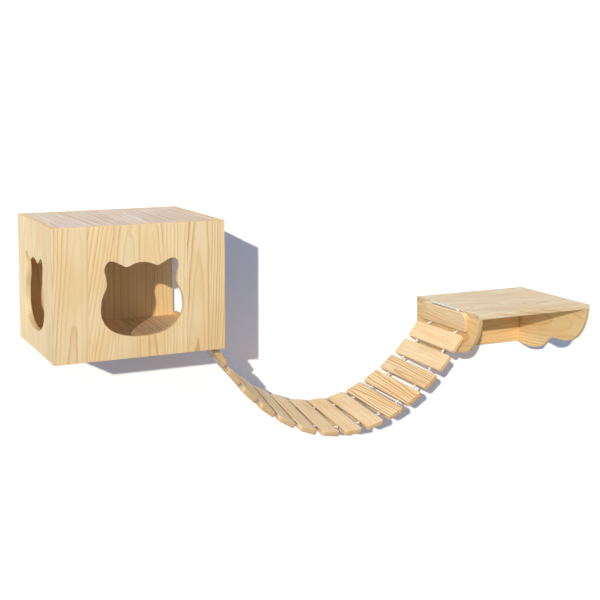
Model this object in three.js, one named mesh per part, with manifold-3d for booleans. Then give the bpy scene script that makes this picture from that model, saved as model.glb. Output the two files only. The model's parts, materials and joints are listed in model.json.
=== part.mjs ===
// Wall-mounted cat house, hanging slat bridge and wall shelf, in pale pine with a white rope.
// Millimetres, +Z up. The wall is the plane y = 0 and everything stands out from it towards -Y.
// The origin is the middle of the house's back face.
import * as THREE from 'three';
import { mergeVertices } from 'three/addons/utils/BufferGeometryUtils.js';
import Module from 'manifold-3d';

const wasm = await Module();
wasm.setup();

// Boards and the house
const boardThickness = 13;
const houseWidth = 400;
const houseDepth = 340;
const houseHeight = 300;
const floorRise = 10.5; // the floor's lower face above the house's lower edge

// Cat-head opening of the front and left panels
const headWidth = 193;
const headHeight = 173;
const headJawHeight = 67;
const headSill = 48;
const frontHeadShift = 3;
const leftHeadFromWall = 163.5;
const jawFullness = 2.3;
const jawSteps = 22;
const cheekSteps = 22;
// From the widest place of the cheek over the ear to the crown, as shares of half the width and of
// the height above the sill.
const cheekShares = [
  [1, 0.387], [0.978, 0.495], [0.942, 0.555], [0.87, 0.646], [0.85, 0.72], [0.869, 0.798],
  [0.902, 0.882], [0.879, 0.942], [0.829, 0.982], [0.756, 1], [0.653, 0.988], [0.508, 0.948],
  [0.394, 0.916], [0.29, 0.927], [0.212, 0.946], [0.109, 0.963], [0, 0.968],
];

// Doorway of the right panel, where the bridge begins. It is open towards the wall.
const doorRim = 30; // left standing above and below
const doorStile = 21; // left standing inside the front panel
const doorCorner = 5;

// Wall screw holes of the back panel and of the shelf's rail, and the screws at the anchor slats
const wallHoleDiameter = 6.5;
const panelHoleInset = 37;
const railHoleInset = 47;
const railHoleEdge = 32;
const screwDiameter = 3.6;
const screwHeadDiameter = 7.2;
const screwHeadHeight = 2.4;
const screwTipLength = 4;
const houseScrewLength = 35;
const shelfScrewLength = 22;
const screwSpacing = 60;

// Dowels that join the boards
const dowelDiameter = 6;
const dowelLength = 24;
const dowelFaceDepth = 8;
const dowelEndInset = 50;

// Slats and rope of the bridge
const slatLength = 222;
const slatWidth = 50;
const slatThickness = 13;
const slatGap = 11.8;
const slatCorner = 8;
const slatEase = 2.5;
const anchorCorner = 20;
const ropeDiameter = 7;
const ropeSpacing = 132;
const ropeButtonDiameter = 11.5;
const ropeButtonHeight = 5;
const houseGapLean = 1.2; // the first gap's middle stands this far out from the anchor slat's middle
const houseGapDrop = 10; // and this far below the anchor slat's lower edge
const shelfGapLean = 8.6;
const shelfGapDrop = 4.6;
const hangShare = 1.24; // the chain's length as a share of the straight way between its ends
const rollAngle = THREE.MathUtils.degToRad(8.8); // the slats' front ends hang lower, most of all here
const rollSkew = 0.55; // the power that moves the greatest roll towards the house
const handleShare = 0.4; // of each gap's width, for the rope's bend
const steepestStep = 2; // the largest growth of the slope that the chain's search tries
const searchRounds = 60;

// The shelf
const houseToShelf = 720;
const shelfTopBelowHouseTop = 288;
const shelfWidth = 360;
const shelfDepth = 313;
const railHeight = 145;
const sideLobeDepth = 165;
const sideNotchDepth = 118;
const sideNoseLength = 98;
const shelfAnchorDrop = 4;
const noseSteps = 14;
const waveSteps = 24;
// The side board's lower edge from the wall to the notch, as shares of the shelf's depth and of the
// way from the notch's depth to the lobe's depth.
const waveShares = [
  [0, 0.94], [0.109, 0.99], [0.224, 1], [0.297, 0.915], [0.39, 0.723], [0.441, 0.426],
  [0.492, 0.128], [0.559, 0],
];

// Clearances
const glueLine = 0.1;
const seatGap = 0.3;
const ropeClearance = 0.6;
const overrun = 5;

// Facets
const cornerSteps = 3;
const easeSteps = 2;
const roundSides = 12;
const dowelSides = 10;
const ropeSides = 8;
const ropeGapSteps = 4;
const ropeTurnSteps = 4;

// Places that several pieces share
const houseTop = houseHeight / 2;
const houseBottom = -houseHeight / 2;
const houseSide = houseWidth / 2;
const sideInner = houseSide - boardThickness;
const frontInner = -houseDepth + boardThickness;
const floorUnder = houseBottom + floorRise;
const floorMiddle = floorUnder + boardThickness / 2;
const roofMiddle = houseTop - boardThickness / 2;
const bridgeMiddle = -shelfDepth / 2;
const shelfTop = houseTop - shelfTopBelowHouseTop;
const shelfUnder = shelfTop - boardThickness;
const shelfLeft = houseSide + houseToShelf;
const shelfRight = shelfLeft + shelfWidth;
const shelfMiddle = (shelfLeft + shelfRight) / 2;

const pine = (color, roughness) => new THREE.MeshStandardMaterial({ color, roughness, metalness: 0 });
const panelPine = pine(0xe9cfa0, 0.62);
const innerPine = pine(0xdcbd88, 0.66);
const slatPine = pine(0xe6c48c, 0.6);
const shelfPine = pine(0xe8c68c, 0.6);
const beech = pine(0xd9b98a, 0.7);
const ropeWhite = new THREE.MeshStandardMaterial({ color: 0xf2efe8, roughness: 0.9, metalness: 0 });
const zincSteel = new THREE.MeshStandardMaterial({ color: 0xb9bcc0, roughness: 0.35, metalness: 1 });

const object = new THREE.Group();

// Solids

function toSolid(geometry) {
  const bare = geometry.clone();
  bare.deleteAttribute('normal');
  bare.deleteAttribute('uv');
  const merged = mergeVertices(bare);
  return new wasm.Manifold(new wasm.Mesh({
    numProp: 3,
    vertProperties: new Float32Array(merged.attributes.position.array),
    triVerts: new Uint32Array(merged.index.array),
  }));
}

function toGeometry(solid) {
  const mesh = solid.getMesh();
  const geometry = new THREE.BufferGeometry();
  geometry.setAttribute('position', new THREE.BufferAttribute(mesh.vertProperties, 3));
  geometry.setIndex(new THREE.BufferAttribute(mesh.triVerts, 1));
  return geometry;
}

// Takes the cutters, which stand in the object's frame, out of a placed mesh.
function cut(mesh, cutters) {
  mesh.updateMatrixWorld(true);
  const intoMesh = mesh.matrixWorld.clone().invert();
  let solid = toSolid(mesh.geometry);
  for (const cutter of cutters) {
    solid = solid.subtract(toSolid(cutter.clone().applyMatrix4(intoMesh)));
  }
  mesh.geometry = toGeometry(solid);
}

function addPiece(name, geometry, material) {
  const mesh = new THREE.Mesh(geometry, material);
  mesh.name = name;
  object.add(mesh);
  return mesh;
}

// A round bar from one point along a direction, in the object's frame.
function roundBar(from, direction, length, diameter, sides) {
  const bar = new THREE.CylinderGeometry(diameter / 2, diameter / 2, length, sides);
  bar.translate(0, length / 2, 0);
  const turn = new THREE.Quaternion().setFromUnitVectors(new THREE.Vector3(0, 1, 0), direction);
  bar.applyQuaternion(turn);
  bar.translate(from.x, from.y, from.z);
  return bar;
}

// A body of revolution whose axis runs from one point along a direction. The profile lists radius
// and place along the axis.
function turnedBody(from, direction, profile, sides) {
  const body = new THREE.LatheGeometry(profile.map(([radius, along]) => new THREE.Vector2(radius, along)), sides);
  const turn = new THREE.Quaternion().setFromUnitVectors(new THREE.Vector3(0, 1, 0), direction);
  body.applyQuaternion(turn);
  body.translate(from.x, from.y, from.z);
  return body;
}

// Boards. Their outlines are drawn in the XY plane and their thickness runs along Z.

const rectangle = (left, low, right, high) => new THREE.Shape([
  new THREE.Vector2(left, low), new THREE.Vector2(right, low),
  new THREE.Vector2(right, high), new THREE.Vector2(left, high),
]);

const boardOf = (shape) => new THREE.ExtrudeGeometry(shape, { depth: boardThickness, bevelEnabled: false });

// Across the object: the outline's X stays X and its Y becomes Z. The board's back face is at y.
function placeAcross(mesh, back) {
  mesh.rotation.x = Math.PI / 2;
  mesh.position.y = back;
}

// Along the depth: the outline's X becomes the distance from the wall and its Y becomes Z. The
// board's right face is at x.
function placeAlong(mesh, right) {
  mesh.rotation.set(Math.PI / 2, 0, -Math.PI / 2, 'ZYX');
  mesh.position.x = right;
}

// The cat's head: a full jaw below the widest place, and the cheeks, ears and crown above it.
function headPath(middle) {
  const half = headWidth / 2;
  const sill = houseBottom + headSill;
  const power = (value) => Math.sign(value) * Math.abs(value) ** (2 / jawFullness);
  const jaw = Array.from({ length: jawSteps + 1 }, (_, step) => {
    const angle = Math.PI + (step / jawSteps) * Math.PI;
    return new THREE.Vector2(half * power(Math.cos(angle)), headJawHeight * (1 + power(Math.sin(angle))));
  });
  const cheek = new THREE.SplineCurve(
    cheekShares.map(([across, up]) => new THREE.Vector2(half * across, headHeight * up)),
  ).getPoints(cheekSteps);
  const right = cheek.slice(1);
  const left = cheek.slice(1, -1).reverse().map((point) => new THREE.Vector2(-point.x, point.y));
  return new THREE.Path([...jaw, ...right, ...left].map((point) => point.add(new THREE.Vector2(middle, sill))));
}

// A rectangle with round corners, as a list of points that runs counter-clockwise from low right.
function roundedPoints(left, low, right, high, lowCorner, highCorner) {
  const corners = [
    [right, low, lowCorner, -Math.PI / 2], [right, high, highCorner, 0],
    [left, high, highCorner, Math.PI / 2], [left, low, lowCorner, Math.PI],
  ];
  return corners.flatMap(([x, y, radius, start]) => {
    const centreX = x + (x === right ? -radius : radius);
    const centreY = y + (y === high ? -radius : radius);
    return new THREE.EllipseCurve(centreX, centreY, radius, radius, start, start + Math.PI / 2)
      .getPoints(cornerSteps);
  });
}

function houseFront() {
  const shape = rectangle(-houseSide, houseBottom, houseSide, houseTop);
  shape.holes.push(headPath(frontHeadShift));
  const mesh = addPiece('house_front_panel', boardOf(shape), panelPine);
  placeAcross(mesh, frontInner);
  return mesh;
}

function houseLeft() {
  const shape = rectangle(0, houseBottom, -frontInner - glueLine, houseTop);
  shape.holes.push(headPath(leftHeadFromWall));
  const mesh = addPiece('house_left_panel', boardOf(shape), panelPine);
  placeAlong(mesh, -sideInner);
  return mesh;
}

function houseRight() {
  const depth = -frontInner - glueLine;
  const high = houseTop - doorRim;
  const centreX = depth - doorStile - doorCorner;
  const centreZ = high - doorCorner;
  const upperCorner = new THREE.EllipseCurve(centreX, centreZ, doorCorner, doorCorner, Math.PI / 2, 0, true);
  const lowerCorner = new THREE.EllipseCurve(centreX, -centreZ, doorCorner, doorCorner, 0, -Math.PI / 2, true);
  const shape = new THREE.Shape([
    new THREE.Vector2(0, houseBottom), new THREE.Vector2(depth, houseBottom),
    new THREE.Vector2(depth, houseTop), new THREE.Vector2(0, houseTop), new THREE.Vector2(0, high),
    ...upperCorner.getPoints(cornerSteps), ...lowerCorner.getPoints(cornerSteps),
    new THREE.Vector2(0, -high),
  ]);
  const mesh = addPiece('house_right_panel', boardOf(shape), panelPine);
  placeAlong(mesh, houseSide);
  return mesh;
}

function houseBack() {
  const half = sideInner - glueLine;
  const mesh = addPiece('house_back_panel', boardOf(rectangle(-half, houseBottom, half, houseTop)), innerPine);
  placeAcross(mesh, 0);
  return mesh;
}

// The top and the floor lie between the other four panels.
function houseLevel(name, middle) {
  const halfWidth = sideInner - glueLine;
  const front = -frontInner - glueLine;
  const shape = rectangle(-halfWidth, -front, halfWidth, -boardThickness - glueLine);
  const mesh = addPiece(name, boardOf(shape), innerPine);
  mesh.position.z = middle - boardThickness / 2;
  return mesh;
}

function shelfBoard() {
  const shape = rectangle(shelfLeft, -shelfDepth, shelfRight, 0);
  const mesh = addPiece('shelf_top_board', boardOf(shape), shelfPine);
  mesh.position.z = shelfUnder;
  return mesh;
}

// The side board's front is a quarter ellipse about a point on the shelf's top face, and its lower
// edge waves from the notch down to the lobe at the wall.
function shelfSide(name, right) {
  const upper = shelfUnder - glueLine;
  const noseStart = shelfDepth - sideNoseLength;
  const noseAngle = Math.asin((shelfTop - upper) / sideNotchDepth);
  const wave = new THREE.SplineCurve(waveShares.map(([out, down]) => new THREE.Vector2(
    shelfDepth * out,
    shelfTop - sideNotchDepth - (sideLobeDepth - sideNotchDepth) * down,
  ))).getPoints(waveSteps);
  const nose = new THREE.EllipseCurve(
    noseStart, shelfTop, sideNoseLength, sideNotchDepth, -Math.PI / 2, -noseAngle,
  ).getPoints(noseSteps);
  const shape = new THREE.Shape([new THREE.Vector2(0, upper), ...wave, ...nose]);
  const mesh = addPiece(name, boardOf(shape), shelfPine);
  placeAlong(mesh, right);
  return mesh;
}

function shelfRail() {
  const upper = shelfUnder - glueLine;
  const left = shelfLeft + boardThickness + glueLine;
  const right = shelfRight - boardThickness - glueLine;
  const mesh = addPiece('shelf_back_rail', boardOf(rectangle(left, upper - railHeight, right, upper)), shelfPine);
  placeAcross(mesh, 0);
  return mesh;
}

// Holes for the screws that hold the house and the shelf to the wall.
function wallHole(x, z) {
  const from = new THREE.Vector3(x, -boardThickness - overrun, z);
  return roundBar(from, new THREE.Vector3(0, 1, 0), boardThickness + 2 * overrun, wallHoleDiameter, roundSides);
}

function drillWallHoles(back, rail) {
  const panelX = sideInner - panelHoleInset;
  cut(back, [-1, 0, 1].map((side) => wallHole(side * panelX, houseTop - panelHoleInset)));
  const railX = shelfWidth / 2 - boardThickness - railHoleInset;
  cut(rail, [-1, 1].map((side) => wallHole(shelfMiddle + side * railX, shelfUnder - railHoleEdge)));
}

// A dowel in blind holes. The point is on the joint face, and the direction runs from the board that
// is drilled in its face into the board that is drilled in its edge.
function addDowel(name, point, direction, faceBoard, edgeBoard) {
  const start = point.clone().addScaledVector(direction, -dowelFaceDepth);
  const mesh = addPiece(name, roundBar(start, direction, dowelLength, dowelDiameter, dowelSides), beech);
  const holeStart = start.clone().addScaledVector(direction, -seatGap);
  const hole = roundBar(
    holeStart, direction, dowelLength + 2 * seatGap, dowelDiameter + 2 * seatGap, dowelSides,
  );
  cut(faceBoard, [hole]);
  cut(edgeBoard, [hole]);
  return mesh;
}

function joinHouse(panels) {
  const upper = houseTop - dowelEndInset;
  const levels = [['low', -1], ['high', 1]];
  const depths = [['front', frontInner + dowelEndInset], ['rear', -boardThickness - dowelEndInset]];
  const sides = [['left', -1, panels.left, upper], ['right', 1, panels.right, houseTop - doorRim / 2]];
  for (const [sideName, side, panel, rearHeight] of sides) {
    const edge = side * (houseSide - boardThickness / 2);
    const inner = side * sideInner;
    const inwards = new THREE.Vector3(-side, 0, 0);
    for (const [level, up] of levels) {
      const corner = new THREE.Vector3(edge, frontInner, up * upper);
      addDowel(`dowel_front_${sideName}_${level}`, corner, new THREE.Vector3(0, 1, 0), panels.front, panel);
      const rear = new THREE.Vector3(inner, -boardThickness / 2, up * rearHeight);
      addDowel(`dowel_back_${sideName}_${level}`, rear, inwards, panel, panels.back);
    }
    for (const [place, y] of depths) {
      const roof = new THREE.Vector3(inner, y, roofMiddle);
      addDowel(`dowel_top_${sideName}_${place}`, roof, inwards, panel, panels.top);
      const floor = new THREE.Vector3(inner, y, floorMiddle);
      addDowel(`dowel_floor_${sideName}_${place}`, floor, inwards, panel, panels.floor);
    }
  }
}

function joinShelf(boards) {
  const down = new THREE.Vector3(0, 0, -1);
  const sides = [['left', shelfLeft, 1, boards.left], ['right', shelfRight, -1, boards.right]];
  for (const [sideName, outer, inwards, board] of sides) {
    const x = outer + (inwards * boardThickness) / 2;
    for (const [place, y] of [['front', dowelEndInset - shelfDepth], ['rear', -dowelEndInset]]) {
      const point = new THREE.Vector3(x, y, shelfUnder);
      addDowel(`dowel_shelf_${sideName}_${place}`, point, down, boards.top, board);
    }
    const end = new THREE.Vector3(outer + inwards * boardThickness, -boardThickness / 2, shelfUnder - railHeight / 2);
    addDowel(`dowel_rail_${sideName}`, end, new THREE.Vector3(inwards, 0, 0), board, boards.rail);
  }
  for (const [place, side] of [['left', -1], ['right', 1]]) {
    const x = shelfMiddle + side * (shelfWidth / 2 - boardThickness - dowelEndInset);
    const point = new THREE.Vector3(x, -boardThickness / 2, shelfUnder);
    addDowel(`dowel_rail_top_${place}`, point, down, boards.top, boards.rail);
  }
}

// The bridge hangs like a chain: from slat to slat its slope grows by one and the same step.

const anchorOut = seatGap + slatThickness / 2;
const houseAnchor = new THREE.Vector2(houseSide + anchorOut, houseBottom + slatWidth / 2);
const shelfAnchor = new THREE.Vector2(shelfLeft - anchorOut, shelfTop - shelfAnchorDrop - slatWidth / 2);
const chainStart = new THREE.Vector2(
  houseAnchor.x + houseGapLean, houseAnchor.y - slatWidth / 2 - houseGapDrop,
);
const chainEnd = new THREE.Vector2(
  shelfAnchor.x - shelfGapLean, shelfAnchor.y - slatWidth / 2 - shelfGapDrop,
);
const chainLength = hangShare * chainStart.distanceTo(chainEnd);
const slatCount = Math.round(chainLength / (slatWidth + slatGap));
const slatPitch = chainLength / slatCount;

const chainAngles = (slopeStep, lowest) => Array.from(
  { length: slatCount },
  (_, index) => Math.atan((index - lowest) * slopeStep),
);

const sum = (values) => values.reduce((total, value) => total + value, 0);

// The place where a rising function crosses zero.
function crossing(rising, low, high) {
  let [below, above] = [low, high];
  for (let round = 0; round < searchRounds; round += 1) {
    const middle = (below + above) / 2;
    if (rising(middle) < 0) below = middle;
    else above = middle;
  }
  return (below + above) / 2;
}

// For each slope step the lowest place is set by the ends' difference in height, and the step by
// their distance across.
function lowestFor(slopeStep) {
  const fall = (lowest) => chainEnd.y - chainStart.y - slatPitch * sum(chainAngles(slopeStep, lowest).map(Math.sin));
  return crossing(fall, -slatCount, 2 * slatCount);
}

function tooShort(slopeStep) {
  const reach = slatPitch * sum(chainAngles(slopeStep, lowestFor(slopeStep)).map(Math.cos));
  return chainEnd.x - chainStart.x - reach;
}

const slopeStep = crossing(tooShort, 0, steepestStep);
const angles = chainAngles(slopeStep, lowestFor(slopeStep));

// Each slat's middle, its direction along the bridge and its direction across it.
function slatFrame(middle, angle, roll) {
  return {
    middle: new THREE.Vector3(middle.x, bridgeMiddle, middle.y),
    angle,
    roll,
    along: new THREE.Vector3(Math.cos(angle), 0, Math.sin(angle)),
    across: new THREE.Vector3(
      -Math.sin(angle) * Math.sin(roll), Math.cos(roll), Math.cos(angle) * Math.sin(roll),
    ),
  };
}

function hangingFrames() {
  const start = chainStart.clone();
  return angles.map((angle, index) => {
    const step = new THREE.Vector2(Math.cos(angle), Math.sin(angle)).multiplyScalar(slatPitch);
    const middle = start.clone().addScaledVector(step, 1 / 2);
    start.add(step);
    const share = ((index + 1 / 2) / slatCount) ** rollSkew;
    return slatFrame(middle, angle, rollAngle * Math.sin(Math.PI * share));
  });
}

const houseAnchorFrame = slatFrame(houseAnchor, -Math.PI / 2, 0);
const shelfAnchorFrame = slatFrame(shelfAnchor, Math.PI / 2, 0);
const hanging = hangingFrames();

// A slat's outline has its width along X and its length along Y. Its corners are round and its edges
// are eased inside the outline.
function slatGeometry(lowCorner, highCorner) {
  const points = roundedPoints(
    -slatLength / 2, -slatWidth / 2, slatLength / 2, slatWidth / 2, lowCorner, highCorner,
  );
  const shape = new THREE.Shape(points);
  const geometry = new THREE.ExtrudeGeometry(shape, {
    depth: slatThickness - 2 * slatEase,
    bevelThickness: slatEase,
    bevelSize: slatEase,
    bevelOffset: -slatEase,
    bevelSegments: easeSteps,
  });
  geometry.translate(0, 0, slatEase - slatThickness / 2);
  geometry.rotateZ(-Math.PI / 2);
  return geometry;
}

function addSlat(name, frame, lowCorner, highCorner) {
  const mesh = addPiece(name, slatGeometry(lowCorner, highCorner), slatPine);
  mesh.position.copy(frame.middle);
  mesh.rotation.set(frame.roll, -frame.angle, 0, 'YXZ');
  const reach = slatWidth + 2 * overrun;
  cut(mesh, [-1, 1].map((side) => {
    const from = frame.middle.clone()
      .addScaledVector(frame.across, (side * ropeSpacing) / 2)
      .addScaledVector(frame.along, -reach / 2);
    return roundBar(from, frame.along, reach, ropeDiameter + 2 * ropeClearance, roundSides);
  }));
  return mesh;
}

// The rope's route passes straight through each slat and bends in the gaps between them. It goes out
// through the front row of bores, crosses over the shelf's anchor slat and comes back through the rear row.
class RopeRoute extends THREE.Curve {
  constructor(stations) {
    super();
    this.stations = stations;
  }

  getPoint(t, target = new THREE.Vector3()) {
    const place = t * (this.stations.length - 1);
    const index = Math.min(Math.floor(place), this.stations.length - 2);
    return target.lerpVectors(this.stations[index], this.stations[index + 1], place - index);
  }

  getTangent(t, target = new THREE.Vector3()) {
    const last = this.stations.length - 1;
    const index = Math.round(t * last);
    const before = this.stations[Math.max(index - 1, 0)];
    const here = this.stations[index];
    const after = this.stations[Math.min(index + 1, last)];
    target.copy(here).sub(before).normalize();
    return target.add(after.clone().sub(here).normalize()).normalize();
  }

  getUtoTmapping(u) {
    return u;
  }
}

function ropeRow(side) {
  const frames = [houseAnchorFrame, ...hanging, shelfAnchorFrame];
  const stub = seatGap + ropeButtonHeight / 2;
  const stations = [];
  frames.forEach((frame, index) => {
    const middle = frame.middle.clone().addScaledVector(frame.across, (side * ropeSpacing) / 2);
    const first = index === 0;
    const entry = middle.clone().addScaledVector(frame.along, -slatWidth / 2 - (first ? stub : 0));
    const exit = middle.clone().addScaledVector(frame.along, slatWidth / 2);
    if (!first) {
      const from = stations[stations.length - 1];
      const handle = handleShare * from.distanceTo(entry);
      const bend = new THREE.CubicBezierCurve3(
        from,
        from.clone().addScaledVector(frames[index - 1].along, handle),
        entry.clone().addScaledVector(frame.along, -handle),
        entry,
      );
      stations.push(...bend.getPoints(ropeGapSteps).slice(1, -1));
    }
    stations.push(entry, exit);
  });
  return stations;
}

// The crossing lies on the anchor slat's edge, with a tight turn at either bore.
function ropeCrossing(frame) {
  const rise = seatGap + ropeDiameter / 2;
  const turnMiddle = ropeSpacing / 2 - rise;
  const turns = [
    new THREE.EllipseCurve(-turnMiddle, 0, rise, rise, Math.PI, Math.PI / 2, true),
    new THREE.EllipseCurve(turnMiddle, 0, rise, rise, Math.PI / 2, 0, true),
  ];
  return turns.flatMap((turn) => turn.getPoints(ropeTurnSteps)).slice(1, -1).map((point) => frame.middle.clone()
    .addScaledVector(frame.across, point.x)
    .addScaledVector(frame.along, slatWidth / 2 + point.y));
}

// A melted end of the rope, which stops it on the anchor slat's edge.
function ropeButton(frame, side) {
  const outwards = frame.along.clone().negate();
  const from = frame.middle.clone()
    .addScaledVector(frame.across, (side * ropeSpacing) / 2)
    .addScaledVector(outwards, slatWidth / 2 + seatGap);
  const radius = ropeButtonDiameter / 2;
  const shoulder = ropeButtonHeight / 4;
  return turnedBody(from, outwards, [
    [0, 0], [radius - shoulder, 0], [radius, shoulder], [radius, ropeButtonHeight - shoulder],
    [radius - shoulder, ropeButtonHeight], [0, ropeButtonHeight],
  ], roundSides);
}

function addRope(name) {
  const stations = [...ropeRow(-1), ...ropeCrossing(shelfAnchorFrame), ...ropeRow(1).reverse()];
  const section = new THREE.Shape(new THREE.EllipseCurve(0, 0, ropeDiameter / 2, ropeDiameter / 2)
    .getPoints(ropeSides).slice(0, -1));
  const tube = new THREE.ExtrudeGeometry(section, {
    steps: stations.length - 1,
    extrudePath: new RopeRoute(stations),
    bevelEnabled: false,
  });
  const rope = [-1, 1].reduce(
    (solid, side) => solid.add(toSolid(ropeButton(houseAnchorFrame, side))),
    toSolid(tube),
  );
  return addPiece(name, toGeometry(rope), ropeWhite);
}

// A countersunk wood screw, or with a clearance the hole that it sits in. The screw's head is flush
// with the face that it starts from.
function screwProfile(length, clearance) {
  const head = screwHeadDiameter / 2 + clearance;
  const shank = screwDiameter / 2 + clearance;
  return [
    [0, 0], [head, 0], [shank, screwHeadHeight], [shank, length - screwTipLength],
    [0, length + clearance],
  ];
}

function addScrew(name, head, direction, length, boards) {
  const screw = turnedBody(head, direction, screwProfile(length, 0), roundSides);
  const mesh = addPiece(name, screw, zincSteel);
  const mouth = head.clone().addScaledVector(direction, -seatGap);
  const hole = turnedBody(mouth, direction, screwProfile(length + 2 * seatGap, seatGap), roundSides);
  for (const board of boards) cut(board, [hole]);
  return mesh;
}

const panels = {
  front: houseFront(),
  left: houseLeft(),
  right: houseRight(),
  back: houseBack(),
  top: houseLevel('house_top_panel', roofMiddle),
  floor: houseLevel('house_floor_panel', floorMiddle),
};
const boards = {
  top: shelfBoard(),
  left: shelfSide('shelf_left_side', shelfLeft + boardThickness),
  right: shelfSide('shelf_right_side', shelfRight),
  rail: shelfRail(),
};
drillWallHoles(panels.back, boards.rail);
joinHouse(panels);
joinShelf(boards);

const houseAnchorSlat = addSlat('anchor_slat_house', houseAnchorFrame, anchorCorner, slatCorner);
hanging.forEach((frame, index) => {
  addSlat(`slat_${String(index + 1).padStart(2, '0')}`, frame, slatCorner, slatCorner);
});
const shelfAnchorSlat = addSlat('anchor_slat_shelf', shelfAnchorFrame, slatCorner, anchorCorner);
addRope('rope');

for (const [place, side] of [['front', -1], ['rear', 1]]) {
  const y = bridgeMiddle + (side * screwSpacing) / 2;
  const houseHead = new THREE.Vector3(houseAnchor.x + slatThickness / 2, y, floorMiddle);
  addScrew(
    `anchor_screw_house_${place}`, houseHead, new THREE.Vector3(-1, 0, 0), houseScrewLength,
    [houseAnchorSlat, panels.right, panels.floor],
  );
  const shelfHead = new THREE.Vector3(shelfLeft + boardThickness, y, shelfAnchor.y);
  addScrew(
    `anchor_screw_shelf_${place}`, shelfHead, new THREE.Vector3(-1, 0, 0), shelfScrewLength,
    [boards.left, shelfAnchorSlat],
  );
}

export default object;
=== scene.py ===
import json
import math

import bpy
import numpy as np
from mathutils import Matrix, Vector
from mathutils.geometry import tessellate_polygon


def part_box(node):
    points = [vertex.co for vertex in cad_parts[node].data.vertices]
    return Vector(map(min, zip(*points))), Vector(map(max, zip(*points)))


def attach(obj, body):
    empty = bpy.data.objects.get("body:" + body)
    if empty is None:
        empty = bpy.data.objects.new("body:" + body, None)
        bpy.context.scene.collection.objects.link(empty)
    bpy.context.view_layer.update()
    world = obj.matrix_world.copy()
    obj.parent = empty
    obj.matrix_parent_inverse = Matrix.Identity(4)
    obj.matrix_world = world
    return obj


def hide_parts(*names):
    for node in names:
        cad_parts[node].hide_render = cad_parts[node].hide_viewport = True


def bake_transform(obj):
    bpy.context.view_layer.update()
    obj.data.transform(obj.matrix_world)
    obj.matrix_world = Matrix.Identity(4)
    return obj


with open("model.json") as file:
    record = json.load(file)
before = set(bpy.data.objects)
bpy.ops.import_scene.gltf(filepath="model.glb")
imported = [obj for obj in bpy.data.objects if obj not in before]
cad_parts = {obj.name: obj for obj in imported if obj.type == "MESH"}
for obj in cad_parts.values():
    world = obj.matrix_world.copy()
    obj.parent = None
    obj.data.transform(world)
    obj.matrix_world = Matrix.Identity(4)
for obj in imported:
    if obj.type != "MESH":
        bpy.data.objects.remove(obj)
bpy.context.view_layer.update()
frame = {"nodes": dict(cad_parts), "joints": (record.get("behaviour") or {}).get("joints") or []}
scene = bpy.context.scene
scene.view_settings.view_transform = "Standard"

view = {
    "place": (-0.793, -2.837, 0.459),
    "yaw": 25.38,  # degrees to the right of straight at the wall
    "pitch": 5.6,  # degrees down
    "lens": 70.62,
    "sensor": 36,
    "shift": -1 / 6,
}


def makeCamera():
    yaw, pitch = math.radians(view["yaw"]), math.radians(view["pitch"])
    level = Vector((math.sin(yaw), math.cos(yaw), 0))
    forward = level * math.cos(pitch) - Vector((0, 0, math.sin(pitch)))
    right = forward.cross(Vector((0, 0, 1))).normalized()
    up = right.cross(forward)
    camera = bpy.data.objects.new("camera", bpy.data.cameras.new("camera"))
    camera.data.lens = view["lens"]
    camera.data.sensor_width = view["sensor"]
    camera.data.shift_y = view["shift"]
    turn = Matrix((right, up, -forward)).transposed()
    camera.matrix_world = Matrix.Translation(view["place"]) @ turn.to_4x4()
    scene.collection.objects.link(camera)
    scene.camera = camera


makeCamera()
print("camera stands at", view["place"])


# Colours are written as they look on the screen and turned into the linear values that nodes take.
def fromHex(code):
    parts = [int(code[i:i + 2], 16) / 255 for i in (1, 3, 5)]
    linear = [c / 12.92 if c <= 0.04045 else ((c + 0.055) / 1.055) ** 2.4 for c in parts]
    return (*linear, 1.0)


# A number in a node tree. Adding, multiplying and so on add Math nodes.
class Signal:
    def __init__(self, nodes, socket):
        self.nodes = nodes
        self.socket = socket

    def math(self, operation, *others):
        return self.nodes.sum(operation, self, *others)

    def __add__(self, other):
        return self.math("ADD", other)

    def __radd__(self, other):
        return self.math("ADD", other)

    def __sub__(self, other):
        return self.math("SUBTRACT", other)

    def __rsub__(self, other):
        return self.nodes.sum("SUBTRACT", other, self)

    def __mul__(self, other):
        return self.math("MULTIPLY", other)

    def __truediv__(self, other):
        return self.math("DIVIDE", other)

    def __abs__(self):
        return self.math("ABSOLUTE")

    def floor(self):
        return self.math("FLOOR")

    def fract(self):
        return self.math("FRACT")

    def root(self):
        return self.math("SQRT")

    # 0 below low, 1 above high, and a smooth rise between them
    def rise(self, low, high):
        node = self.nodes.add(
            "ShaderNodeMapRange", {"interpolation_type": "SMOOTHSTEP"},
            {"Value": self, "From Min": low, "From Max": high},
        )
        return Signal(self.nodes, node.outputs[0])


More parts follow.
